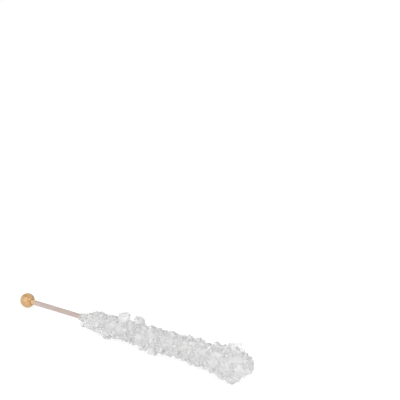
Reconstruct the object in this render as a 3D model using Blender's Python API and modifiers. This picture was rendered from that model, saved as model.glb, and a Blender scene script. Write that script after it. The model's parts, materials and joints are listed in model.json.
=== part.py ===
"""Rock candy stick: a wooden ball on a thin dowel, with clear sugar crystals grown round the far end.

It lies on its crystals, as it would on a table. The dowel rises a little from the ball to the big
crystals of the head. Metres, +Z up, +X from the ball to the head, origin under the middle.
"""

import math
import random

import bmesh
import bpy
from mathutils import Matrix, Vector

MM = 0.001

# Driving dimensions. A station is the distance along the dowel from a point inside the ball, 4 mm
# from its outer end.
OVERALL_LENGTH = 170.0 * MM
BALL_END = -4.0 * MM
BALL_RADIUS = 4.2 * MM
BALL_MIDDLE = BALL_END + BALL_RADIUS
STICK_RADIUS = 1.35 * MM
STICK_CHAMFER = 0.25 * MM
STICK_IN_BALL = 2.5 * MM
FIT_GAP = 0.3 * MM
STICK_START = BALL_MIDDLE + BALL_RADIUS - STICK_IN_BALL
CANDY_START = 45.5 * MM
CANDY_END = OVERALL_LENGTH + BALL_END
STICK_END = CANDY_END - 13.0 * MM

# How it lies: the height of the dowel's axis at station 0, and its rise towards the head.
AXIS_HEIGHT = 5.2 * MM
RISE_ANGLE = math.radians(1.87)

# The outline that the crystals reach, as a radius about the dowel. Each swell is the station of
# its middle, its spread and its height, and the last of them is the head.
ENTRY_RADIUS = 2.4 * MM
ENTRY_TAPER = 15.0 * MM
BODY_RADIUS = 6.3 * MM
SWELLS = (
    (99.0 * MM, 8.0 * MM, 0.6 * MM),
    (128.0 * MM, 8.0 * MM, 0.3 * MM),
    (153.0 * MM, 10.0 * MM, 3.1 * MM),
)
DOME_START = 156.0 * MM
DOME_CLOSING = 0.7

# The fused sugar under the blocks, as a share of the outline, and how uneven it is.
CORE_SHARE = 0.74
CORE_UNEVEN = 0.15
CORE_SHIFT = 0.8 * MM
CORE_INSET = (1.0 * MM, 3.0 * MM)

# The sugar blocks all along the dowel: their number, and their width and reach as shares of the
# outline. Each leans a little, and turns a little from its place on the spiral.
BLOCKS_ALONG = 168
BLOCK_INSET = (1.6 * MM, 3.9 * MM)
BLOCK_WIDTH = (0.55, 0.8)
BLOCK_REACH = (0.88, 1.03)
BLOCK_LEAN = math.radians(14)
BLOCK_STRAY = math.radians(20)
GOLDEN_ANGLE = math.pi * (3.0 - math.sqrt(5.0))

# The form of one block, as shares of its width or its length.
BLOCK_DEPTH = (0.72, 0.95)
BLOCK_LENGTH = (1.05, 1.45)
BLOCK_SLANT = 0.2
RIDGE_HEIGHT = 0.46
RIDGE_SLOPE = math.radians(35)
CORNER_CUT = (0.44, 0.54)
CHOSEN_TILT = (math.radians(9), math.radians(29))

# Fixed seeds, so that the crystals are the same each time.
SEED = 495
SEED_CHOSEN = 34

# Blocks that stand out: station, turn about the dowel in degrees, lean towards the head in
# degrees, reach from the dowel's middle, and width. A turn of 0 is up, and 90 is towards -Y.
PROMINENT = (
    (48.6, 150, -6, 5.4, 2.6),
    (52.5, 152, 0, 5.3, 3.4),
    (58.5, -24, 0, 5.9, 4.6),
    (66.0, 152, 0, 7.3, 4.4),
    (76.4, -25, 2, 9.7, 6.4),
    (75.0, 150, 0, 6.2, 4.6),
    (86.9, -22, 4, 9.3, 4.8),
    (87.0, 150, 0, 6.4, 4.4),
    (94.5, 156, 0, 7.8, 4.6),
    (101.0, 150, 4, 8.6, 4.8),
    (98.5, -25, 0, 6.6, 4.0),
    (112.0, -24, 0, 6.7, 5.4),
    (113.0, 152, 0, 6.6, 4.6),
    (119.0, 150, 0, 6.8, 5.0),
    (118.0, 70, 0, 7.0, 5.0),
    (122.8, -22, 0, 7.2, 3.2),
    (127.5, 154, 0, 7.6, 4.0),
    (128.8, -20, 2, 7.3, 4.0),
    (132.5, 152, 0, 7.4, 4.4),
    (138.0, 150, 0, 7.6, 4.6),
    (140.5, -22, 0, 7.8, 4.6),
    (143.0, 150, 0, 8.3, 5.4),
    (147.0, 72, 0, 9.2, 8.0),
    (148.0, 148, 0, 9.2, 6.6),
    (151.8, -26, 4, 10.7, 8.0),
    (152.0, 118, 10, 9.6, 8.0),
    (151.5, -88, 0, 8.8, 7.4),
    (154.0, 158, 2, 10.3, 7.0),
    (152.0, -146, 0, 9.6, 8.4),
    (155.0, 26, 24, 8.0, 7.2),
    (156.5, 96, 48, 8.0, 7.6),
    (156.5, 190, 46, 7.0, 6.4),
    (156.0, -60, 46, 6.0, 5.4),
    (159.0, 100, 84, 7.2, 5.0),
)

# Blocks that it rests on. The floor plane trims each of them to a small flat.
FEET = (
    (61.5, 206, 0, 8.6, 4.8),
    (66.5, 174, 0, 8.1, 4.4),
    (153.6, 172, 0, 10.8, 6.4),
    (150.5, 207, 0, 11.6, 6.4),
)

WOOD = (0.74, 0.56, 0.42)
LACQUERED_WOOD = (0.72, 0.45, 0.2)
SUGAR = (0.84, 0.84, 0.84)


def clear_scene():
    """Removes what the scene starts with."""
    for thing in list(bpy.data.objects):
        bpy.data.objects.remove(thing, do_unlink=True)


def new_collection(name):
    collection = bpy.data.collections.new(name)
    bpy.context.scene.collection.children.link(collection)
    return collection


def material(name, colour, roughness, transmission=0.0):
    """A Principled material with no pattern."""
    made = bpy.data.materials.new(name)
    made.use_nodes = True
    shader = made.node_tree.nodes["Principled BSDF"]
    shader.inputs["Base Color"].default_value = (*colour, 1.0)
    shader.inputs["Roughness"].default_value = roughness
    shader.inputs["Metallic"].default_value = 0.0
    shader.inputs["Transmission Weight"].default_value = transmission
    made.diffuse_color = (*colour, 1.0)
    return made


def add_object(name, mesh, collection, parent, finish=None):
    obj = bpy.data.objects.new(name, mesh)
    collection.objects.link(obj)
    obj.parent = parent
    if finish is not None:
        mesh.materials.append(finish)
    return obj


def mesh_from(bm, name):
    mesh = bpy.data.meshes.new(name)
    bm.to_mesh(mesh)
    bm.free()
    return mesh


def dowel_mesh(name, start, end, radius, segments=24):
    """A round bar along X from one station to another."""
    bm = bmesh.new()
    bmesh.ops.create_cone(
        bm, cap_ends=True, segments=segments, radius1=radius, radius2=radius, depth=end - start
    )
    bmesh.ops.rotate(bm, verts=bm.verts, matrix=Matrix.Rotation(math.radians(90), 3, "Y"))
    bmesh.ops.translate(bm, verts=bm.verts, vec=((start + end) / 2, 0, 0))
    return mesh_from(bm, name)


def hide_helper(obj):
    """Marks a cutter or another helper, which is no piece of the object."""
    obj.hide_render = True
    obj.display_type = "WIRE"


def boolean(obj, operation, cutter=None, cutters=None):
    modifier = obj.modifiers.new(operation.title(), "BOOLEAN")
    modifier.operation = operation
    modifier.solver = "EXACT"
    if cutters is not None:
        modifier.operand_type = "COLLECTION"
        modifier.collection = cutters
    else:
        modifier.object = cutter
    return modifier


def make_ball(collection, helpers, frame, finish):
    """The turned ball, with a blind hole that the dowel is glued into."""
    bm = bmesh.new()
    bmesh.ops.create_uvsphere(bm, u_segments=28, v_segments=14, radius=BALL_RADIUS)
    bmesh.ops.rotate(bm, verts=bm.verts, matrix=Matrix.Rotation(math.radians(90), 3, "Y"))
    bmesh.ops.translate(bm, verts=bm.verts, vec=(BALL_MIDDLE, 0, 0))
    ball = add_object("ball", mesh_from(bm, "ball"), collection, frame, finish)
    ball.data.shade_smooth()
    ball.data.set_sharp_from_angle(angle=math.radians(40))
    outside = BALL_MIDDLE + BALL_RADIUS * 1.5
    drill = dowel_mesh("ball_drill", STICK_START - FIT_GAP, outside, STICK_RADIUS + FIT_GAP)
    cutter = add_object("ball_drill", drill, helpers, frame)
    hide_helper(cutter)
    boolean(ball, "DIFFERENCE", cutter)


def make_stick(collection, frame, finish):
    """The birch dowel, from inside the ball to inside the head of the candy."""
    mesh = dowel_mesh("stick", STICK_START, STICK_END, STICK_RADIUS)
    stick = add_object("stick", mesh, collection, frame, finish)
    stick.data.shade_smooth()
    stick.data.set_sharp_from_angle(angle=math.radians(40))
    chamfer = stick.modifiers.new("Chamfer", "BEVEL")
    chamfer.width = STICK_CHAMFER
    chamfer.segments = 1
    chamfer.limit_method = "ANGLE"
    chamfer.angle_limit = math.radians(60)


def smoothstep(value):
    value = min(max(value, 0.0), 1.0)
    return value * value * (3.0 - 2.0 * value)


def outline_radius(station):
    """How far from the dowel's middle the crystals reach at a station."""
    opening = smoothstep((station - CANDY_START) / ENTRY_TAPER)
    radius = ENTRY_RADIUS + (BODY_RADIUS - ENTRY_RADIUS) * opening
    for middle, spread, height in SWELLS:
        radius += height * math.exp(-(((station - middle) / spread) ** 2))
    if station > DOME_START:
        share = min((station - DOME_START) / (CANDY_END - DOME_START), 1.0)
        radius *= 1.0 - DOME_CLOSING * share
    return radius


def core_mesh(rings=32, steps=10):
    """The fused sugar next to the dowel: a turned profile inside the outline, then made uneven."""
    start, end = CANDY_START + CORE_INSET[0], CANDY_END - CORE_INSET[1]
    profile = [Vector((start, 0, 0))]
    for ring in range(rings):
        station = start + (end - start) * ring / (rings - 1)
        profile.append(Vector((station, 0, outline_radius(station) * CORE_SHARE)))
    profile.append(Vector((end, 0, 0)))
    bm = bmesh.new()
    verts = [bm.verts.new(point) for point in profile]
    edges = [bm.edges.new(pair) for pair in zip(verts, verts[1:])]
    bmesh.ops.spin(
        bm, geom=verts + edges, cent=(0, 0, 0), axis=(1, 0, 0), angle=math.tau, steps=steps
    )
    bmesh.ops.remove_doubles(bm, verts=bm.verts, dist=0.01 * MM)
    rng = random.Random(SEED)
    for vert in bm.verts:
        lump = rng.uniform(1.0 - CORE_UNEVEN, 1.0 + CORE_UNEVEN)
        vert.co.y *= lump
        vert.co.z *= lump
        vert.co.x += rng.uniform(-CORE_SHIFT, CORE_SHIFT)
    bmesh.ops.triangulate(bm, faces=bm.faces)
    bmesh.ops.recalc_face_normals(bm, faces=bm.faces)
    return mesh_from(bm, "rock_candy")


def cleave(bm, point, normal):
    """Cuts off what lies beyond a plane and closes the cut with one facet."""
    geom = bm.verts[:] + bm.edges[:] + bm.faces[:]
    cut = bmesh.ops.bisect_plane(
        bm, geom=geom, dist=1e-7, plane_co=point, plane_no=normal, clear_outer=True
    )
    rim = [item for item in cut["geom_cut"] if isinstance(item, bmesh.types.BMEdge)]
    if rim:
        bmesh.ops.edgeloop_fill(bm, edges=rim)


def sugar_block(rng, width):
    """One sugar crystal: a slanted block with a ridge at one end and a cut corner."""
    bm = bmesh.new()
    bmesh.ops.create_cube(bm, size=1.0)
    depth = width * rng.uniform(*BLOCK_DEPTH)
    length = width * rng.uniform(*BLOCK_LENGTH)
    bmesh.ops.scale(bm, verts=bm.verts, vec=(width, depth, length))
    slant = Matrix.Identity(3)
    slant[0][2] = BLOCK_SLANT
    bmesh.ops.transform(bm, verts=bm.verts, matrix=slant)
    ridge = Vector((BLOCK_SLANT / 2, 0, RIDGE_HEIGHT)) * length
    for side in (-RIDGE_SLOPE, RIDGE_SLOPE):
        cleave(bm, ridge, Vector((math.sin(side), 0, math.cos(side))))
    sides = rng.choice((-1, 1)), rng.choice((-1, 1))
    corner = Vector((*sides, rng.uniform(-0.6, -0.2))).normalized()
    cleave(bm, corner * width * rng.uniform(*CORNER_CUT), corner)
    bmesh.ops.recalc_face_normals(bm, faces=bm.faces)
    return bm


def random_turn(rng):
    """A rotation with no preferred direction."""
    axis = Vector((rng.gauss(0, 1), rng.gauss(0, 1), rng.gauss(0, 1))).normalized()
    return Matrix.Rotation(rng.uniform(0, math.tau), 3, axis)


def growth_direction(turn, lean):
    """Away from the dowel at a turn about it, leaning towards the head."""
    outward = Vector((0, -math.sin(turn), math.cos(turn)))
    return outward * math.cos(lean) + Vector((math.sin(lean), 0, 0))


def place_block(bm, rotation, station, direction, reach):
    """Turns a block and moves it out until its furthest corner is at its reach."""
    bmesh.ops.rotate(bm, verts=bm.verts, matrix=rotation)
    furthest = max(vert.co.dot(direction) for vert in bm.verts)
    shift = Vector((station, 0, 0)) + direction * (reach - furthest)
    bmesh.ops.translate(bm, verts=bm.verts, vec=shift)


def standing_turn(rng, direction):
    """A rotation that stands a block's ridge outward, a little askew."""
    upright = Vector((0, 0, 1)).rotation_difference(direction).to_matrix()
    spin = Matrix.Rotation(rng.uniform(0, math.tau), 3, "Z")
    level_axis = Vector((rng.gauss(0, 1), rng.gauss(0, 1), 0))
    return upright @ Matrix.Rotation(rng.uniform(*CHOSEN_TILT), 3, level_axis) @ spin


def scattered_blocks():
    """The blocks all round the dowel, one golden angle after another."""
    rng = random.Random(SEED)
    first, last = CANDY_START + BLOCK_INSET[0], CANDY_END - BLOCK_INSET[1]
    for index in range(BLOCKS_ALONG):
        station = first + (last - first) * (index + 0.5) / BLOCKS_ALONG
        outline = outline_radius(station)
        turn = index * GOLDEN_ANGLE + rng.uniform(-BLOCK_STRAY, BLOCK_STRAY)
        direction = growth_direction(turn, rng.uniform(-BLOCK_LEAN, BLOCK_LEAN))
        bm = sugar_block(rng, outline * rng.uniform(*BLOCK_WIDTH))
        place_block(bm, random_turn(rng), station, direction, outline * rng.uniform(*BLOCK_REACH))
        yield mesh_from(bm, "block")


def chosen_blocks():
    """The blocks that stand out, and the ones underneath that it rests on."""
    rng = random.Random(SEED_CHOSEN)
    for station, turn, lean, reach, width in PROMINENT + FEET:
        direction = growth_direction(math.radians(turn), math.radians(lean))
        bm = sugar_block(rng, width * MM)
        place_block(bm, standing_turn(rng, direction), station * MM, direction, reach * MM)
        yield mesh_from(bm, "block")


def grow_blocks(blocks, frame):
    """Makes each sugar block a helper object that the candy is joined from."""
    for count, mesh in enumerate([*scattered_blocks(), *chosen_blocks()]):
        hide_helper(add_object(f"block_{count:03d}", mesh, blocks, frame))


def floor_block_mesh(depth=20 * MM):
    """A block with its top on the floor plane, longer and wider than the object."""
    bm = bmesh.new()
    bmesh.ops.create_cube(bm, size=1.0)
    bmesh.ops.scale(bm, verts=bm.verts, vec=(2 * OVERALL_LENGTH, OVERALL_LENGTH, depth))
    bmesh.ops.translate(bm, verts=bm.verts, vec=(0, 0, -depth / 2))
    return mesh_from(bm, "floor_block")


def make_candy(collection, blocks, helpers, frame, finish):
    """Joins the blocks and the core, drills the dowel's way in, and trims the feet to the floor."""
    candy = add_object("rock_candy", core_mesh(), collection, frame, finish)
    grow_blocks(blocks, frame)
    boolean(candy, "UNION", cutters=blocks)
    mouth = CANDY_START - 2 * BODY_RADIUS
    bore = dowel_mesh("bore", mouth, STICK_END + FIT_GAP, STICK_RADIUS + FIT_GAP)
    cutter = add_object("bore", bore, helpers, frame)
    hide_helper(cutter)
    boolean(candy, "DIFFERENCE", cutter)
    floor = add_object("floor_block", floor_block_mesh(), helpers, None)
    hide_helper(floor)
    boolean(candy, "DIFFERENCE", floor)


def centre_on_origin(frame, pieces):
    """Slides the object along the floor until its box stands over the origin."""
    bpy.context.view_layer.update()
    graph = bpy.context.evaluated_depsgraph_get()
    low, high = Vector((1.0, 1.0, 1.0)), Vector((-1.0, -1.0, -1.0))
    for piece in pieces:
        shown = piece.evaluated_get(graph)
        mesh = shown.to_mesh()
        for vert in mesh.vertices:
            point = shown.matrix_world @ vert.co
            low = Vector(map(min, low, point))
            high = Vector(map(max, high, point))
        shown.to_mesh_clear()
    middle = (low + high) / 2
    frame.location.x -= middle.x
    frame.location.y -= middle.y


def main():
    clear_scene()
    parts = new_collection("rock_candy_stick")
    helpers = new_collection("cutters")
    blocks = new_collection("sugar_blocks")
    frame = bpy.data.objects.new("dowel_axis", None)
    parts.objects.link(frame)
    frame.location = (-OVERALL_LENGTH / 2 - BALL_END, 0, AXIS_HEIGHT)
    frame.rotation_euler = (0, -RISE_ANGLE, 0)
    make_ball(parts, helpers, frame, material("ball_wood", LACQUERED_WOOD, 0.25))
    make_stick(parts, frame, material("stick_wood", WOOD, 0.6))
    make_candy(parts, blocks, helpers, frame, material("sugar", SUGAR, 0.08, 0.6))
    centre_on_origin(frame, [obj for obj in parts.objects if obj.type == "MESH"])


main()
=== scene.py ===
"""The looks of the rock candy stick: crystal sugar on a wooden dowel with a lacquered ball.

Metres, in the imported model's frame. The crystals are placed along the dowel by the same rules as the
solid's, so the large ones are where the solid has them, and finer ones fill the gaps between them.
Shapes are made along X, from station 0, and ALONG lays them where the frame has the dowel.
"""

import json
import math
import random

import bmesh
import bpy
from mathutils import Matrix, Vector, noise
from mathutils.bvhtree import BVHTree

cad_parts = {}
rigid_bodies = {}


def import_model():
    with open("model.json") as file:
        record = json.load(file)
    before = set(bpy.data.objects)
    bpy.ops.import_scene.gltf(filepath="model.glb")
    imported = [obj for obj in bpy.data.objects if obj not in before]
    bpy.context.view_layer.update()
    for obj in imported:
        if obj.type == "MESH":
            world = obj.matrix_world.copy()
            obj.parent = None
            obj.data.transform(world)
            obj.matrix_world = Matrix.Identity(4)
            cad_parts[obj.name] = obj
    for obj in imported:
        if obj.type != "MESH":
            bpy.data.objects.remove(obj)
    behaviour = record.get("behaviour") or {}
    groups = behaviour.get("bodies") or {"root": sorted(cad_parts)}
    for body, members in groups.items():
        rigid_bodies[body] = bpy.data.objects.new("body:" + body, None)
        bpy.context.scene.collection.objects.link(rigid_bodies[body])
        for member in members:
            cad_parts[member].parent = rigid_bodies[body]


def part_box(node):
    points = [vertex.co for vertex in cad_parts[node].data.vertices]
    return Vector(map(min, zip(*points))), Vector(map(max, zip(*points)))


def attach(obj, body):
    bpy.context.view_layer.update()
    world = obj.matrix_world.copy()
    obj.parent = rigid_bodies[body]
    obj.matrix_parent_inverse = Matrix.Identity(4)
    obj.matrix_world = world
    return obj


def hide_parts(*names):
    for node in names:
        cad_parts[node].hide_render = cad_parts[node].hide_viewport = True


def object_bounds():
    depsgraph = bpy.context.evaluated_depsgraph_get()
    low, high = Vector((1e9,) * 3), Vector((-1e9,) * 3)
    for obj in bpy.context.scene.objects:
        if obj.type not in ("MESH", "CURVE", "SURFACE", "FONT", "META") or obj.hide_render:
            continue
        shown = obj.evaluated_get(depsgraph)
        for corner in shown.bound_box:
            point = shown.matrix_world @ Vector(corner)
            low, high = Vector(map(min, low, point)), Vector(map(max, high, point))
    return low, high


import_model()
CAD_LOW, CAD_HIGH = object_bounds()

MM = 0.001

# Where the dowel runs: from the ball's middle, towards the middle of the dowel. A station is the
# distance along it from a point inside the ball, and the ball's outer end is at BALL_END.
BALL_END = -4.0 * MM
BALL_LOW, BALL_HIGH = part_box("ball")
BALL_RADIUS = (BALL_HIGH.y - BALL_LOW.y) / 2
BALL_MIDDLE = Vector((BALL_LOW.x + BALL_RADIUS, (BALL_LOW.y + BALL_HIGH.y) / 2, BALL_LOW.z + BALL_RADIUS))
STICK_LOW, STICK_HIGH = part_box("stick")
STICK_MIDDLE = (STICK_LOW + STICK_HIGH) / 2
STICK_RADIUS = (STICK_HIGH.y - STICK_LOW.y) / 2
DOWEL = (STICK_MIDDLE - BALL_MIDDLE).normalized()
RISE_ANGLE = math.asin(DOWEL.z)
BALL_STATION = BALL_END + BALL_RADIUS
START_POINT = BALL_MIDDLE - DOWEL * BALL_STATION
TOWARDS_HEAD = Vector((1, 0, 0)).rotation_difference(DOWEL).to_matrix().to_4x4()
ALONG = Matrix.Translation(START_POINT) @ TOWARDS_HEAD

# The solid's own driving dimensions.
OVERALL_LENGTH = 170.0 * MM
CANDY_START = 45.5 * MM
CANDY_END = OVERALL_LENGTH + BALL_END
STICK_START = BALL_STATION + BALL_RADIUS - 2.5 * MM
STICK_END = CANDY_END - 13.0 * MM
ENTRY_RADIUS = 2.4 * MM
ENTRY_TAPER = 15.0 * MM
BODY_RADIUS = 6.3 * MM
SWELLS = (
    (99.0 * MM, 8.0 * MM, 0.6 * MM),
    (128.0 * MM, 8.0 * MM, 0.3 * MM),
    (153.0 * MM, 10.0 * MM, 3.1 * MM),
)
DOME_START = 156.0 * MM
DOME_CLOSING = 0.7
CORE_SHARE = 0.74
CORE_UNEVEN = 0.15
CORE_SHIFT = 0.8 * MM
CORE_INSET = (1.0 * MM, 3.0 * MM)
BLOCKS_ALONG = 168
BLOCK_INSET = (1.6 * MM, 3.9 * MM)
BLOCK_WIDTH = (0.55, 0.8)
BLOCK_REACH = (0.88, 1.03)
BLOCK_LEAN = math.radians(14)
BLOCK_STRAY = math.radians(20)
GOLDEN_ANGLE = math.pi * (3.0 - math.sqrt(5.0))
BLOCK_DEPTH = (0.72, 0.95)
BLOCK_LENGTH = (1.05, 1.45)
BLOCK_SLANT = 0.2
RIDGE_HEIGHT = 0.46
RIDGE_SLOPE = math.radians(35)
CORNER_CUT = (0.44, 0.54)
CHOSEN_TILT = (math.radians(9), math.radians(29))
SEED = 495
SEED_CHOSEN = 34

# The solid's chosen blocks: station, turn, lean, reach and width, in millimetres and degrees.
CHOSEN = (
    (48.6, 150, -6, 5.4, 2.6),
    (52.5, 152, 0, 5.3, 3.4),
    (58.5, -24, 0, 5.9, 4.6),
    (66.0, 152, 0, 7.3, 4.4),
    (76.4, -25, 2, 9.7, 6.4),
    (75.0, 150, 0, 6.2, 4.6),
    (86.9, -22, 4, 9.3, 4.8),
    (87.0, 150, 0, 6.4, 4.4),
    (94.5, 156, 0, 7.8, 4.6),
    (101.0, 150, 4, 8.6, 4.8),
    (98.5, -25, 0, 6.6, 4.0),
    (112.0, -24, 0, 6.7, 5.4),
    (113.0, 152, 0, 6.6, 4.6),
    (119.0, 150, 0, 6.8, 5.0),
    (118.0, 70, 0, 7.0, 5.0),
    (122.8, -22, 0, 7.2, 3.2),
    (127.5, 154, 0, 7.6, 4.0),
    (128.8, -20, 2, 7.3, 4.0),
    (132.5, 152, 0, 7.4, 4.4),
    (138.0, 150, 0, 7.6, 4.6),
    (140.5, -22, 0, 7.8, 4.6),
    (143.0, 150, 0, 8.3, 5.4),
    (147.0, 72, 0, 9.2, 8.0),
    (148.0, 148, 0, 9.2, 6.6),
    (151.8, -26, 4, 10.7, 8.0),
    (152.0, 118, 10, 9.6, 8.0),
    (151.5, -88, 0, 8.8, 7.4),
    (154.0, 158, 2, 10.3, 7.0),
    (152.0, -146, 0, 9.6, 8.4),
    (155.0, 26, 24, 8.0, 7.2),
    (156.5, 96, 48, 8.0, 7.6),
    (156.5, 190, 46, 7.0, 6.4),
    (156.0, -60, 46, 6.0, 5.4),
    (159.0, 100, 84, 7.2, 5.0),
    (61.5, 206, 0, 8.6, 4.8),
    (66.5, 174, 0, 8.1, 4.4),
    (153.6, 172, 0, 10.8, 6.4),
    (150.5, 207, 0, 11.6, 6.4),
)

# The finer crystals between them, kind by kind: their number, width, and reach as a share of the
# outline, and their seed.
FINE_KINDS = (
    (900, (1.1 * MM, 2.6 * MM), (0.65, 0.86), 8),
    (700, (0.6 * MM, 1.2 * MM), (0.7, 0.9), 9),
)

# The smallest crystals, grown on the faces of the large ones: their places, width, how far they stand
# out as a share of it, and their seed. From HEAD_MIDDLE on they turn from the side to the end. A
# place is filled more often where the candy is thicker, and less often on the smooth head.
SMALL_COUNT = 1300
SMALL_WIDTH = (0.9 * MM, 1.9 * MM)
SMALL_STAND = (0.12, 0.3)
SMALL_SEED = 10
SMALL_ON_HEAD = 0.45
HEAD_START = 146.0 * MM
HEAD_MIDDLE = 152.0 * MM
EDGE_ROUNDING = 0.05
BOX_MARGIN = 0.05 * MM

# How clear each crystal is, from 0, milky, to 1, like glass. Each face holds its crystal's value.
CLARITY = "clarity"
CLARITY_SEED = 21
CORE_CLARITY = 0.5
FINE_CLARITY = 0.85

# The frosting of fine sugar that the crystals grew on. It shows through them, white, over the wood.
FROSTING_SHARE = 0.5
FROSTING_COVER = 0.12 * MM
FROSTING_INSET = (1.8 * MM, 6.0 * MM)
FROSTING_LUMP = 0.35 * MM
FROSTING_GRAIN = 0.9 * MM

# The turned wood: the hole's clearance round the dowel, the broken edges, and the hand-made waviness.
HOLE_CLEARANCE = 0.06 * MM
HOLE_CHAMFER = 0.12 * MM
DOWEL_CHAMFER = 0.25 * MM
DOWEL_WAVE = 0.02 * MM
DOWEL_WAVE_LENGTH = 9.0 * MM

# How far the ball's lacquer runs up the dowel, as stations in millimetres, and how much that varies.
LACQUER_FULL = 4.8
LACQUER_END = 8.4
LACQUER_WANDER = 1.0

# The camera, at the photograph's viewing angle. The heading is measured from +X towards +Y.
CAMERA_PLACE = Vector((0.41596, -0.41251, 0.23078))
CAMERA_HEADING = math.radians(131.621)
CAMERA_DOWN = math.radians(14.541)
CAMERA_ROLL = math.radians(0.55)
CAMERA_LENS = 106.63
CAMERA_SENSOR = 36.0

# The studio: a bright room with greyer walls low down, a light table, and lights given by their
# heading and height as seen from the object, their distance, their width and their power in watts.
ROOM_LIGHT = 0.7
ROOM_WALLS = 0.4
WALL_TOP = 0.6
FLOOR_SIZE = 12.0
FLOOR_TONE = 0.25
FLOOR_GLOW = 0.8
LIGHTS = (
    ("key", -5.0, 33.0, 0.9, 0.18, 1.4),
    ("front", -78.0, 38.0, 1.0, 1.2, 7.8),
)


def mesh_from(bm, name):
    mesh = bpy.data.meshes.new(name)
    bm.to_mesh(mesh)
    bm.free()
    return mesh


def add_piece(name, mesh):
    obj = bpy.data.objects.new(name, mesh)
    bpy.context.scene.collection.objects.link(obj)
    return obj


def turned(profile, steps):
    """A closed form turned about X, from stations and radii that begin and end on the axis."""
    bm = bmesh.new()
    verts = [bm.verts.new((station, 0, radius)) for station, radius in profile]
    edges = [bm.edges.new(pair) for pair in zip(verts, verts[1:])]
    bmesh.ops.spin(
        bm, geom=verts + edges, cent=(0, 0, 0), axis=(1, 0, 0), angle=math.tau, steps=steps
    )
    bmesh.ops.remove_doubles(bm, verts=bm.verts, dist=0.01 * MM)
    bmesh.ops.recalc_face_normals(bm, faces=bm.faces)
    return bm


def finish_piece(piece, node, material):
    """Gives a piece its material, attaches it to the root body, and hides the node that it replaces."""
    piece.data.materials.clear()
    piece.data.materials.append(material)
    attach(piece, "root")
    if node:
        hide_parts(node)


# Wood ----------------------------------------------------------------------------------------------


def smooth_wood(bm, name):
    """A turned wooden piece laid along the dowel, smooth but for its sharp edges."""
    bmesh.ops.transform(bm, matrix=ALONG, verts=bm.verts)
    piece = add_piece(name, mesh_from(bm, name))
    piece.data.shade_smooth()
    piece.data.set_sharp_from_angle(angle=math.radians(35))
    return piece


def make_ball(arc_steps=40, steps=64):
    """The turned ball, drilled for the dowel, with the hole's edge broken."""
    hole = STICK_RADIUS + HOLE_CLEARANCE
    mouth = math.asin((hole + HOLE_CHAMFER) / BALL_RADIUS)
    turns = [math.pi - (math.pi - mouth) * step / arc_steps for step in range(arc_steps + 1)]
    arc = [
        (BALL_STATION + BALL_RADIUS * math.cos(turn), BALL_RADIUS * math.sin(turn)) for turn in turns
    ]
    arc[0] = (BALL_END, 0)
    edge = arc[-1][0] - HOLE_CHAMFER
    profile = [*arc, (edge, hole), (STICK_START, hole), (STICK_START, 0)]
    ball = smooth_wood(turned(profile, steps), "lacquered_ball")
    finish_piece(ball, "ball", ball_material())


def make_dowel(rings=150, steps=48):
    """The dowel, with broken ends, and not quite true along its length."""
    start, end = STICK_START + HOLE_CLEARANCE, STICK_END
    sides = []
    for ring in range(rings + 1):
        station = start + DOWEL_CHAMFER + (end - start - 2 * DOWEL_CHAMFER) * ring / rings
        wave = noise.noise(Vector((station / DOWEL_WAVE_LENGTH, 0, 0)))
        sides.append((station, STICK_RADIUS - DOWEL_WAVE * (0.5 + 0.5 * wave)))
    tip = STICK_RADIUS - DOWEL_CHAMFER
    profile = [(start, 0), (start, tip), *sides, (end, tip), (end, 0)]
    dowel = smooth_wood(turned(profile, steps), "wooden_dowel")
    finish_piece(dowel, "stick", dowel_material())


# Sugar crystals ------------------------------------------------------------------------------------


def smoothstep(value):
    value = min(max(value, 0.0), 1.0)
    return value * value * (3.0 - 2.0 * value)


def outline_radius(station):
    """How far from the dowel's middle the crystals reach at a station."""
    opening = smoothstep((station - CANDY_START) / ENTRY_TAPER)
    radius = ENTRY_RADIUS + (BODY_RADIUS - ENTRY_RADIUS) * opening
    for middle, spread, height in SWELLS:
        radius += height * math.exp(-(((station - middle) / spread) ** 2))
    if station > DOME_START:
        share = min((station - DOME_START) / (CANDY_END - DOME_START), 1.0)
        radius *= 1.0 - DOME_CLOSING * share
    return radius


def core_mesh(rings=32, steps=10):
    """The fused sugar next to the dowel: a turned profile inside the outline, then made uneven."""
    start, end = CANDY_START + CORE_INSET[0], CANDY_END - CORE_INSET[1]
    stations = [start + (end - start) * ring / (rings - 1) for ring in range(rings)]
    rims = [(station, outline_radius(station) * CORE_SHARE) for station in stations]
    bm = turned([(start, 0), *rims, (end, 0)], steps)
    rng = random.Random(SEED)
    for vert in bm.verts:
        lump = rng.uniform(1.0 - CORE_UNEVEN, 1.0 + CORE_UNEVEN)
        vert.co.y *= lump
        vert.co.z *= lump
        vert.co.x += rng.uniform(-CORE_SHIFT, CORE_SHIFT)
    bmesh.ops.triangulate(bm, faces=bm.faces)
    bmesh.ops.recalc_face_normals(bm, faces=bm.faces)
    return crystal_mesh(bm, CORE_CLARITY, "crystal_core")


def cleave(bm, point, normal):
    """Cuts off what lies beyond a plane and closes the cut with one facet."""
    geom = bm.verts[:] + bm.edges[:] + bm.faces[:]
    cut = bmesh.ops.bisect_plane(
        bm, geom=geom, dist=1e-7, plane_co=point, plane_no=normal, clear_outer=True
    )
    rim = [item for item in cut["geom_cut"] if isinstance(item, bmesh.types.BMEdge)]
    if rim:
        bmesh.ops.edgeloop_fill(bm, edges=rim)


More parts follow.
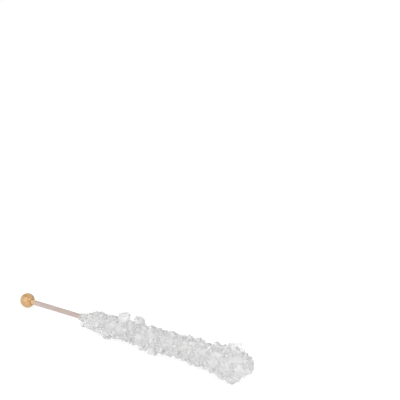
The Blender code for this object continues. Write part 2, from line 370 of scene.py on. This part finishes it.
def sugar_block(rng, width):
    """One sugar crystal: a slanted block with a ridge at one end and a cut corner."""
    bm = bmesh.new()
    bmesh.ops.create_cube(bm, size=1.0)
    depth = width * rng.uniform(*BLOCK_DEPTH)
    length = width * rng.uniform(*BLOCK_LENGTH)
    bmesh.ops.scale(bm, verts=bm.verts, vec=(width, depth, length))
    slant = Matrix.Identity(3)
    slant[0][2] = BLOCK_SLANT
    bmesh.ops.transform(bm, verts=bm.verts, matrix=slant)
    ridge = Vector((BLOCK_SLANT / 2, 0, RIDGE_HEIGHT)) * length
    for side in (-RIDGE_SLOPE, RIDGE_SLOPE):
        cleave(bm, ridge, Vector((math.sin(side), 0, math.cos(side))))
    sides = rng.choice((-1, 1)), rng.choice((-1, 1))
    corner = Vector((*sides, rng.uniform(-0.6, -0.2))).normalized()
    cleave(bm, corner * width * rng.uniform(*CORNER_CUT), corner)
    bmesh.ops.recalc_face_normals(bm, faces=bm.faces)
    return bm


def random_turn(rng):
    """A rotation with no preferred direction."""
    axis = Vector((rng.gauss(0, 1), rng.gauss(0, 1), rng.gauss(0, 1))).normalized()
    return Matrix.Rotation(rng.uniform(0, math.tau), 3, axis)


def growth_direction(turn, lean):
    """Away from the dowel at a turn about it, leaning towards the head."""
    outward = Vector((0, -math.sin(turn), math.cos(turn)))
    return outward * math.cos(lean) + Vector((math.sin(lean), 0, 0))


def place_block(bm, rotation, station, direction, reach):
    """Turns a block and moves it out until its furthest corner is at its reach."""
    bmesh.ops.rotate(bm, verts=bm.verts, matrix=rotation)
    furthest = max(vert.co.dot(direction) for vert in bm.verts)
    shift = Vector((station, 0, 0)) + direction * (reach - furthest)
    bmesh.ops.translate(bm, verts=bm.verts, vec=shift)


def standing_turn(rng, direction):
    """A rotation that stands a block's ridge outward, a little askew."""
    upright = Vector((0, 0, 1)).rotation_difference(direction).to_matrix()
    spin = Matrix.Rotation(rng.uniform(0, math.tau), 3, "Z")
    level_axis = Vector((rng.gauss(0, 1), rng.gauss(0, 1), 0))
    return upright @ Matrix.Rotation(rng.uniform(*CHOSEN_TILT), 3, level_axis) @ spin


def crystal_mesh(bm, clarity, name):
    """A crystal's mesh, with its clarity on each face."""
    mesh = mesh_from(bm, name)
    values = mesh.attributes.new(CLARITY, "FLOAT", "FACE").data
    values.foreach_set("value", [clarity] * len(mesh.polygons))
    return mesh


def round_edges(bm, width, segments=2):
    """Softens a block's edges, as sugar's are by handling."""
    offset = width * EDGE_ROUNDING
    bmesh.ops.bevel(
        bm, geom=bm.edges[:] + bm.verts[:], offset=offset, segments=segments, profile=0.6,
        affect="EDGES", clamp_overlap=True,
    )
    return bm


def scattered_blocks():
    """The solid's blocks all round the dowel, one golden angle after another."""
    rng = random.Random(SEED)
    first, last = CANDY_START + BLOCK_INSET[0], CANDY_END - BLOCK_INSET[1]
    for index in range(BLOCKS_ALONG):
        station = first + (last - first) * (index + 0.5) / BLOCKS_ALONG
        outline = outline_radius(station)
        turn = index * GOLDEN_ANGLE + rng.uniform(-BLOCK_STRAY, BLOCK_STRAY)
        direction = growth_direction(turn, rng.uniform(-BLOCK_LEAN, BLOCK_LEAN))
        width = outline * rng.uniform(*BLOCK_WIDTH)
        bm = sugar_block(rng, width)
        place_block(bm, random_turn(rng), station, direction, outline * rng.uniform(*BLOCK_REACH))
        yield round_edges(bm, width)


def chosen_blocks():
    """The solid's blocks that stand out, and the ones that it rests on."""
    rng = random.Random(SEED_CHOSEN)
    for station, turn, lean, reach, width in CHOSEN:
        direction = growth_direction(math.radians(turn), math.radians(lean))
        bm = sugar_block(rng, width * MM)
        place_block(bm, standing_turn(rng, direction), station * MM, direction, reach * MM)
        yield round_edges(bm, width * MM)


def fine_blocks(count, widths, reaches, seed):
    """Small crystals in the gaps, inside the outline that the large ones reach."""
    rng = random.Random(seed)
    first, last = CANDY_START, CANDY_END - BLOCK_INSET[1]
    for index in range(count):
        station = first + (last - first) * (index + 0.5) / count
        turn = index * GOLDEN_ANGLE + rng.uniform(-BLOCK_STRAY, BLOCK_STRAY)
        direction = growth_direction(turn, rng.uniform(-BLOCK_LEAN, BLOCK_LEAN))
        width = rng.uniform(*widths)
        bm = sugar_block(rng, width)
        reach = outline_radius(station) * rng.uniform(*reaches)
        place_block(bm, random_turn(rng), station, direction, reach)
        yield round_edges(bm, width, segments=1)


def small_blocks(meshes):
    """The smallest crystals, each set into the face that it grows on."""
    verts, faces = [], []
    for mesh in meshes:
        first = len(verts)
        verts += [vert.co.copy() for vert in mesh.vertices]
        faces += [[first + index for index in face.vertices] for face in mesh.polygons]
    surface = BVHTree.FromPolygons(verts, faces)
    rng = random.Random(SMALL_SEED)
    for index in range(SMALL_COUNT):
        station = CANDY_START + (CANDY_END - CANDY_START) * (index + 0.5) / SMALL_COUNT
        end_share = max(station - HEAD_MIDDLE, 0) / (CANDY_END - HEAD_MIDDLE)
        turn = index * GOLDEN_ANGLE + rng.uniform(-BLOCK_STRAY, BLOCK_STRAY)
        outward = growth_direction(turn, end_share * math.pi / 2)
        filled = SMALL_ON_HEAD if station > HEAD_START else outline_radius(station) / BODY_RADIUS
        if rng.random() > filled:
            continue
        outside = Vector((min(station, HEAD_MIDDLE), 0, 0)) + outward * 20 * MM
        place, normal, face, distance = surface.ray_cast(outside, -outward)
        width = rng.uniform(*SMALL_WIDTH)
        bm = sugar_block(rng, width)
        bmesh.ops.rotate(bm, verts=bm.verts, matrix=random_turn(rng))
        furthest = max(vert.co.dot(normal) for vert in bm.verts)
        shift = place + normal * (width * rng.uniform(*SMALL_STAND) - furthest)
        bmesh.ops.translate(bm, verts=bm.verts, vec=shift)
        yield round_edges(bm, width, segments=1)


def inside_box(mesh):
    """Whether a block stays in the solid's own box and above the floor."""
    points = [ALONG @ vert.co for vert in mesh.vertices]
    low = [min(point[axis] for point in points) for axis in range(3)]
    high = [max(point[axis] for point in points) for axis in range(3)]
    return all(
        low[axis] > CAD_LOW[axis] + BOX_MARGIN and high[axis] < CAD_HIGH[axis] - BOX_MARGIN
        for axis in range(3)
    )


def largest_shell(bm):
    """Deletes all but the largest connected surface, which leaves no sealed bubbles inside."""
    left = set(bm.faces)
    shells = []
    while left:
        stack = [left.pop()]
        shell = []
        while stack:
            face = stack.pop()
            shell.append(face)
            for edge in face.edges:
                for other in edge.link_faces:
                    if other in left:
                        left.remove(other)
                        stack.append(other)
        shells.append(shell)
    keep = max(shells, key=len)
    for shell in shells:
        if shell is not keep:
            bmesh.ops.delete(bm, geom=shell, context="FACES")


def joined(base, meshes, name):
    """One closed mesh from a base mesh and the blocks that overlap it, trimmed to the floor."""
    blocks = bpy.data.collections.new(name + "_blocks")
    bpy.context.scene.collection.children.link(blocks)
    for mesh in meshes:
        blocks.objects.link(bpy.data.objects.new(mesh.name, mesh))
    whole = add_piece(name, base)
    union = whole.modifiers.new("Union", "BOOLEAN")
    union.operation, union.solver = "UNION", "MANIFOLD"
    union.operand_type, union.collection = "COLLECTION", blocks
    graph = bpy.context.evaluated_depsgraph_get()
    mesh = bpy.data.meshes.new_from_object(whole.evaluated_get(graph))
    whole.modifiers.clear()
    whole.data = mesh
    for block in list(blocks.objects):
        bpy.data.objects.remove(block)
    bpy.data.collections.remove(blocks)
    mesh.transform(ALONG)
    bm = bmesh.new()
    bm.from_mesh(mesh)
    largest_shell(bm)
    cleave(bm, Vector((0, 0, CAD_LOW.z)), Vector((0, 0, -1)))
    bm.to_mesh(mesh)
    bm.free()
    return whole


def make_crust():
    """The fused crystals, large and fine, as one closed surface."""
    rng = random.Random(CLARITY_SEED)
    blocks = [*scattered_blocks(), *chosen_blocks()]
    crystals = [crystal_mesh(bm, rng.random(), "large_crystal") for bm in blocks]
    small = small_blocks(crystals)
    for kind in (*(fine_blocks(*kind) for kind in FINE_KINDS), small):
        fine = (crystal_mesh(bm, rng.uniform(0, FINE_CLARITY), "fine_crystal") for bm in kind)
        crystals += [mesh for mesh in fine if inside_box(mesh)]
    crust = joined(core_mesh(), crystals, "crystal_crust")
    finish_piece(crust, "rock_candy", crystal_material())


def make_frosting(rings=220, steps=56):
    """The fine grained sugar on the dowel, under the crystals."""
    start, end = CANDY_START + FROSTING_INSET[0], CANDY_END - FROSTING_INSET[1]
    least = STICK_RADIUS + FROSTING_COVER
    stations = [start + (end - start) * ring / rings for ring in range(rings + 1)]
    rims = [(station, max(outline_radius(station) * FROSTING_SHARE, least)) for station in stations]
    bm = turned([(start, 0), *rims, (end, 0)], steps)
    for vert in bm.verts:
        away = Vector((0, vert.co.y, vert.co.z))
        if away.length > STICK_RADIUS:
            lump = 0.5 + 0.5 * noise.noise(vert.co / FROSTING_GRAIN)
            vert.co += away.normalized() * lump * min(FROSTING_LUMP, away.length - STICK_RADIUS)
    bmesh.ops.transform(bm, matrix=ALONG, verts=bm.verts)
    frosting = add_piece("sugar_frosting", mesh_from(bm, "sugar_frosting"))
    finish_piece(frosting, None, frosting_material())


# Materials -----------------------------------------------------------------------------------------


class Finish:
    """A Principled material and short ways to add the nodes that vary it over the surface."""

    def __init__(self, name):
        self.material = bpy.data.materials.new(name)
        self.material.use_nodes = True
        self.tree = self.material.node_tree
        self.shader = self.tree.nodes["Principled BSDF"]

    def set(self, **sockets):
        for name, value in sockets.items():
            self.shader.inputs[name.replace("_", " ")].default_value = value

    def link(self, output, socket):
        self.tree.links.new(output, socket)

    def node(self, kind, **sockets):
        made = self.tree.nodes.new(kind)
        for name, value in sockets.items():
            made.inputs[name.replace("_", " ")].default_value = value
        return made

    def place(self, scale=(1, 1, 1), turn=(0, 0, 0)):
        """Coordinates along the dowel in millimetres, times scale: X towards the head."""
        at = self.node("ShaderNodeTexCoord")
        lay = self.node("ShaderNodeMapping", Rotation=(0, RISE_ANGLE, 0))
        self.link(at.outputs["Object"], lay.inputs["Vector"])
        per_mm = [value / MM for value in scale]
        stretch = self.node("ShaderNodeMapping", Scale=per_mm, Rotation=turn)
        self.link(lay.outputs["Vector"], stretch.inputs["Vector"])
        return stretch.outputs["Vector"]

    def noise(self, place, detail=3.0, roughness=0.5):
        made = self.node("ShaderNodeTexNoise", Scale=1.0, Detail=detail, Roughness=roughness)
        self.link(place, made.inputs["Vector"])
        return made.outputs["Fac"]

    def ramp(self, value, *stops):
        """A colour for each value, from pairs of position and colour."""
        made = self.node("ShaderNodeValToRGB")
        elements = made.color_ramp.elements
        while len(elements) < len(stops):
            elements.new(0.5)
        for element, (position, colour) in zip(elements, stops):
            element.position = position
            element.color = (*colour, 1)
        self.link(value, made.inputs["Fac"])
        return made.outputs["Color"]

    def spread(self, value, low, high, start=0.3, end=0.7):
        """The value's middle range as a number from low to high."""
        made = self.node(
            "ShaderNodeMapRange", From_Min=start, From_Max=end, To_Min=low, To_Max=high
        )
        self.link(value, made.inputs["Value"])
        return made.outputs["Result"]

    def station(self, wander):
        """The station in millimetres, give or take a wandering amount."""
        along = self.node("ShaderNodeSeparateXYZ")
        self.link(self.place(), along.inputs["Vector"])
        start = START_POINT.dot(DOWEL) / MM
        shift = self.spread(self.noise(self.place()), -wander - start, wander - start)
        made = self.node("ShaderNodeMath")
        made.operation = "ADD"
        self.link(along.outputs["X"], made.inputs[0])
        self.link(shift, made.inputs[1])
        return made.outputs["Value"]

    def mix(self, share, first, second, blend="MIX"):
        made = self.node("ShaderNodeMix")
        made.data_type = "RGBA"
        made.blend_type = blend
        factor, low, high = (made.inputs[index] for index in (0, 6, 7))
        for socket, value in ((factor, share), (low, first), (high, second)):
            if isinstance(value, bpy.types.NodeSocket):
                self.link(value, socket)
            else:
                socket.default_value = value
        return made.outputs[2]

    def blend(self, share, first, second):
        """A number between two others."""
        made = self.node("ShaderNodeMix", Factor=share)
        self.link(first, made.inputs["A"])
        self.link(second, made.inputs["B"])
        return made.outputs["Result"]

    def bump(self, height, distance, strength=1.0):
        made = self.node("ShaderNodeBump", Distance=distance, Strength=strength)
        self.link(height, made.inputs["Height"])
        self.link(made.outputs["Normal"], self.shader.inputs["Normal"])


def crystal_material():
    """Sugar crystals, some clear and some milky, with faint growth lines on their facets."""
    sugar = Finish("crystal_sugar")
    sugar.set(IOR=1.54)
    crystal = sugar.node("ShaderNodeAttribute")
    crystal.attribute_name = CLARITY
    cloud = sugar.noise(sugar.place((0.3, 0.3, 0.3)), detail=4.0)
    clarity = sugar.blend(0.4, crystal.outputs["Fac"], cloud)
    tone = sugar.ramp(clarity, (0.2, (0.94, 0.94, 0.94)), (0.8, (0.985, 0.985, 0.985)))
    sugar.link(tone, sugar.shader.inputs["Base Color"])
    sugar.link(sugar.spread(clarity, 0.53, 0.73, 0.2, 0.8), sugar.shader.inputs["Transmission Weight"])
    sugar.link(sugar.spread(clarity, 0.19, 0.07, 0.2, 0.8), sugar.shader.inputs["Roughness"])
    growth = sugar.noise(sugar.place((1.6, 5.0, 1.6), (0.5, 0.3, 0.8)), detail=2.0)
    sugar.bump(growth, distance=0.06 * MM, strength=0.6)
    return sugar.material


def frosting_material():
    """Fine white sugar, grain against grain."""
    sugar = Finish("frosting_sugar")
    grain = sugar.noise(sugar.place((2.5, 2.5, 2.5)), detail=4.0)
    tone = sugar.ramp(grain, (0.3, (0.74, 0.74, 0.74)), (0.7, (0.9, 0.9, 0.9)))
    sugar.link(tone, sugar.shader.inputs["Base Color"])
    sugar.link(sugar.spread(grain, 0.45, 0.75), sugar.shader.inputs["Roughness"])
    sugar.bump(grain, distance=0.15 * MM)
    return sugar.material


def dowel_material():
    """Bare birch: pale and pinkish, with fine darker fibres that run a little askew."""
    wood = Finish("bare_birch")
    wood.set(Specular_IOR_Level=0.2)
    fibres = wood.noise(wood.place((0.2, 4.6, 4.6), (0, 0, math.radians(4))), detail=6.0, roughness=0.7)
    cloud = wood.noise(wood.place((0.12, 0.5, 0.5)), detail=2.0)
    fibre_tone = wood.ramp(
        fibres,
        (0.30, (0.29, 0.213, 0.18)),
        (0.47, (0.475, 0.394, 0.368)),
        (0.68, (0.605, 0.51, 0.473)),
    )
    cloud_tone = wood.ramp(cloud, (0.35, (0.90, 0.87, 0.84)), (0.65, (1, 1, 1)))
    tone = wood.mix(1.0, fibre_tone, cloud_tone, "MULTIPLY")
    lacquer = wood.spread(wood.station(LACQUER_WANDER), 1, 0, LACQUER_FULL, LACQUER_END)
    wood.link(wood.mix(lacquer, tone, (0.68, 0.41, 0.18, 1)), wood.shader.inputs["Base Color"])
    wood.link(wood.spread(fibres, 0.62, 0.48), wood.shader.inputs["Roughness"])
    wood.bump(fibres, distance=0.06 * MM, strength=0.8)
    return wood.material


def ball_material():
    """Amber lacquer over birch, with the grain showing as bands through the ball."""
    wood = Finish("amber_lacquered_wood")
    wood.set(Coat_Weight=1.0, Coat_Roughness=0.06, Coat_IOR=1.5)
    bands = wood.noise(wood.place((0.12, 0.85, 0.5), (0.3, 0.2, 0)), detail=3.0)
    fibres = wood.noise(wood.place((0.5, 4.5, 4.5)), detail=3.0)
    band_tone = wood.ramp(
        bands,
        (0.32, (0.42, 0.221, 0.075)),
        (0.50, (0.542, 0.313, 0.117)),
        (0.68, (0.614, 0.38, 0.152)),
    )
    fibre_tone = wood.ramp(fibres, (0.3, (0.82, 0.78, 0.74)), (0.6, (1, 1, 1)))
    tone = wood.mix(1.0, band_tone, fibre_tone, "MULTIPLY")
    wood.link(tone, wood.shader.inputs["Base Color"])
    wood.link(wood.spread(fibres, 0.5, 0.36), wood.shader.inputs["Roughness"])
    wood.bump(fibres, distance=0.02 * MM, strength=0.5)
    return wood.material


# Stage, light and camera ---------------------------------------------------------------------------


def make_floor():
    """A pale light table, which leaves only a faint shadow."""
    bm = bmesh.new()
    bmesh.ops.create_grid(bm, x_segments=1, y_segments=1, size=FLOOR_SIZE)
    floor = add_piece("floor", mesh_from(bm, "floor"))
    table = Finish("pale_table")
    tone = (FLOOR_TONE, FLOOR_TONE, FLOOR_TONE, 1)
    table.set(Base_Color=tone, Roughness=0.9, Emission_Color=(1, 1, 1, 1), Emission_Strength=FLOOR_GLOW)
    floor.data.materials.append(table.material)


def make_world():
    """An even bright room, greyer towards the foot of its walls."""
    world = bpy.data.worlds.new("studio")
    bpy.context.scene.world = world
    world.use_nodes = True
    nodes, links = world.node_tree.nodes, world.node_tree.links
    look = nodes.new("ShaderNodeTexCoord")
    parts = nodes.new("ShaderNodeSeparateXYZ")
    links.new(look.outputs["Generated"], parts.inputs["Vector"])
    rise = nodes.new("ShaderNodeMapRange")
    rise.interpolation_type = "SMOOTHSTEP"
    rise.inputs["From Min"].default_value = 0.0
    rise.inputs["From Max"].default_value = WALL_TOP
    rise.inputs["To Min"].default_value = ROOM_WALLS
    rise.inputs["To Max"].default_value = ROOM_LIGHT
    links.new(parts.outputs["Z"], rise.inputs["Value"])
    background = nodes["Background"]
    background.inputs["Color"].default_value = (1, 1, 1, 1)
    links.new(rise.outputs["Result"], background.inputs["Strength"])


def make_light(name, heading, height, distance, width, power):
    """A square soft box that faces the middle of the object."""
    data = bpy.data.lights.new(name, "AREA")
    data.shape = "SQUARE"
    data.size = width
    data.energy = power
    heading, height = math.radians(heading), math.radians(height)
    level = Vector((math.cos(heading), math.sin(heading), 0))
    away = level * math.cos(height) + Vector((0, 0, math.sin(height)))
    light = bpy.data.objects.new(name, data)
    light.location = STICK_MIDDLE + away * distance
    light.rotation_euler = away.to_track_quat("Z", "Y").to_euler()
    bpy.context.scene.collection.objects.link(light)


def make_camera():
    data = bpy.data.cameras.new("camera")
    data.lens = CAMERA_LENS
    data.sensor_width = CAMERA_SENSOR
    data.clip_start = 0.01
    camera = bpy.data.objects.new("camera", data)
    heading = Matrix.Rotation(CAMERA_HEADING - math.pi / 2, 4, "Z")
    tilt = Matrix.Rotation(math.pi / 2 - CAMERA_DOWN, 4, "X")
    roll = Matrix.Rotation(CAMERA_ROLL, 4, "Z")
    camera.matrix_world = Matrix.Translation(CAMERA_PLACE) @ heading @ tilt @ roll
    bpy.context.scene.collection.objects.link(camera)
    bpy.context.scene.camera = camera


make_camera()
make_ball()
make_dowel()
make_crust()
make_frosting()
make_floor()
make_world()
for light in LIGHTS:
    make_light(*light)
bpy.context.scene.view_settings.view_transform = "Standard"
